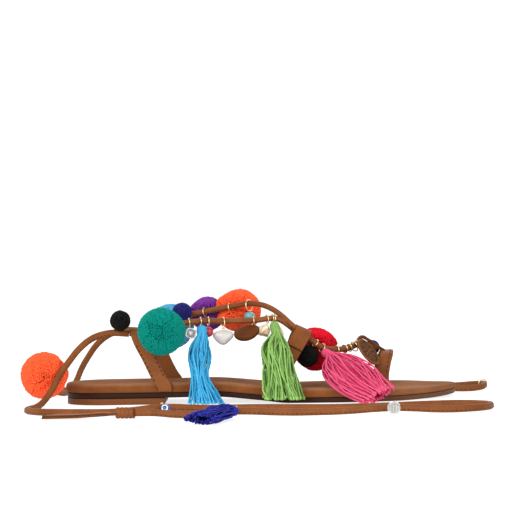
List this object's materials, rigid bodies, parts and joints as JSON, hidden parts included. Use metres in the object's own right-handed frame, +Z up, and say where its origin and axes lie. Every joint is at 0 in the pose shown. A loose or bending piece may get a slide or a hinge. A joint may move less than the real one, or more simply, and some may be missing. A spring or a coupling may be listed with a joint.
{
  "type": "pom pom sandal",
  "caption": "Flat leather lace-up sandal for the right foot, with a toe loop, heel posts, long ties, and poms, yarn tassels and charms strung along its lace.",
  "frame": {"origin": "on the floor under the middle of the heel, at the heel lift's rest face", "axes": "+X towards the toe, +Y to the inner (big toe) side, +Z up"},
  "size_m": [0.3061, 0.3395, 0.0706],
  "materials": {
    "black": "dense cut yarn",
    "coin": "antique bronze",
    "crystal": "faceted clear crystal",
    "eye": "blue glass with white and dark rings",
    "gold": "polished gold plate",
    "heel_lift": "brown lift",
    "leather": "smooth caramel leather, semi-matt",
    "light_blue": "dense cut yarn",
    "navy": "dense cut yarn",
    "orange": "dense cut yarn",
    "outsole": "dark stacked sole edge",
    "purple": "dense cut yarn",
    "red": "dense cut yarn",
    "red_bead": "glossy red bead",
    "shell": "cream shell, softly glossy",
    "silver": "polished silver plate with a clear crystal",
    "stone": "matt white stone",
    "teal": "dense cut yarn",
    "turquoise": "turquoise stone",
    "yarn_blue": "twisted cotton yarn",
    "yarn_green": "twisted cotton yarn",
    "yarn_navy": "twisted cotton yarn",
    "yarn_pink": "twisted cotton yarn"
  },
  "bodies": {
    "shoe": {"charm_leather_disc": "leather", "charm_tie_crystal": "crystal", "charm_tie_eye": "eye", "charm_tie_gold_disc": "gold", "charm_tie_turquoise": "turquoise", "footbed": "leather", "heel_lift": "heel_lift", "outsole": "outsole", "pom_black": "black", "pom_light_blue": "light_blue", "pom_navy": "navy", "pom_orange": "orange", "pom_purple": "purple", "pom_red": "red", "pom_teal": "teal", "pom_tie_black": "black", "pom_tie_orange": "orange", "pom_toe_navy": "navy", "ring_blue": "gold", "ring_green": "gold", "ring_leather_disc": "gold", "ring_pink": "gold", "ring_tie_crystal": "gold", "ring_tie_eye": "gold", "ring_tie_gold_disc": "gold", "ring_tie_navy": "gold", "ring_tie_turquoise": "gold", "tassel_blue": "yarn_blue", "tassel_green": "yarn_green", "tassel_pink": "yarn_pink", "tassel_tie_navy": "yarn_navy", "tie_lateral": "leather", "tie_medial": "leather", "tie_tassel_lateral": "leather", "tie_tassel_medial": "leather", "upper": "leather"},
    "crystal_charm": {"charm_crystal": "silver", "ring_crystal": "gold"},
    "red_bead_charm": {"charm_red_bead": "red_bead", "ring_red_bead": "gold"},
    "white_stone_charm": {"charm_white_stone": "stone", "ring_white_stone": "gold"},
    "cone_shell_charm": {"charm_cone_shell": "shell", "ring_cone_shell": "gold"},
    "cowrie_charm": {"charm_cowrie": "shell", "ring_cowrie": "gold"},
    "turquoise_charm": {"charm_turquoise": "turquoise", "ring_turquoise": "gold"},
    "coin_charm": {"charm_coin": "coin", "ring_coin": "gold"}
  },
  "joints": [
    {"name": "crystal_swing", "type": "hinge", "parent": "shoe", "child": "crystal_charm", "pos_m": [0.04969, -0.02799, 0.051], "axis": [0.9761, 0.1079, 0.1884], "range_deg": [-30, 45]},
    {"name": "red_bead_swing", "type": "hinge", "parent": "shoe", "child": "red_bead_charm", "pos_m": [0.06256, -0.02585, 0.05172], "axis": [0.9717, 0.2339, -0.0326], "range_deg": [-5, 45]},
    {"name": "white_stone_swing", "type": "hinge", "parent": "shoe", "child": "white_stone_charm", "pos_m": [0.07121, -0.0237, 0.05144], "axis": [0.9682, 0.2481, -0.0317], "range_deg": [-40, 45]},
    {"name": "cone_shell_swing", "type": "hinge", "parent": "shoe", "child": "cone_shell_charm", "pos_m": [0.09942, -0.01552, 0.05217], "axis": [0.9524, 0.3041, -0.0183], "range_deg": [0, 45]},
    {"name": "cowrie_swing", "type": "hinge", "parent": "shoe", "child": "cowrie_charm", "pos_m": [0.10416, -0.014, 0.05208], "axis": [0.9524, 0.3041, -0.0183], "range_deg": [0, 45]},
    {"name": "turquoise_swing", "type": "hinge", "parent": "shoe", "child": "turquoise_charm", "pos_m": [0.08819, 0.00319, 0.0615], "axis": [0.8201, -0.5721, 0.0118], "range_deg": [-45, 10]},
    {"name": "coin_swing", "type": "hinge", "parent": "shoe", "child": "coin_charm", "pos_m": [0.15439, 0.00741, 0.03295], "axis": [0.7211, 0.6219, 0.3054], "range_deg": [-30, 12]}
  ]
}
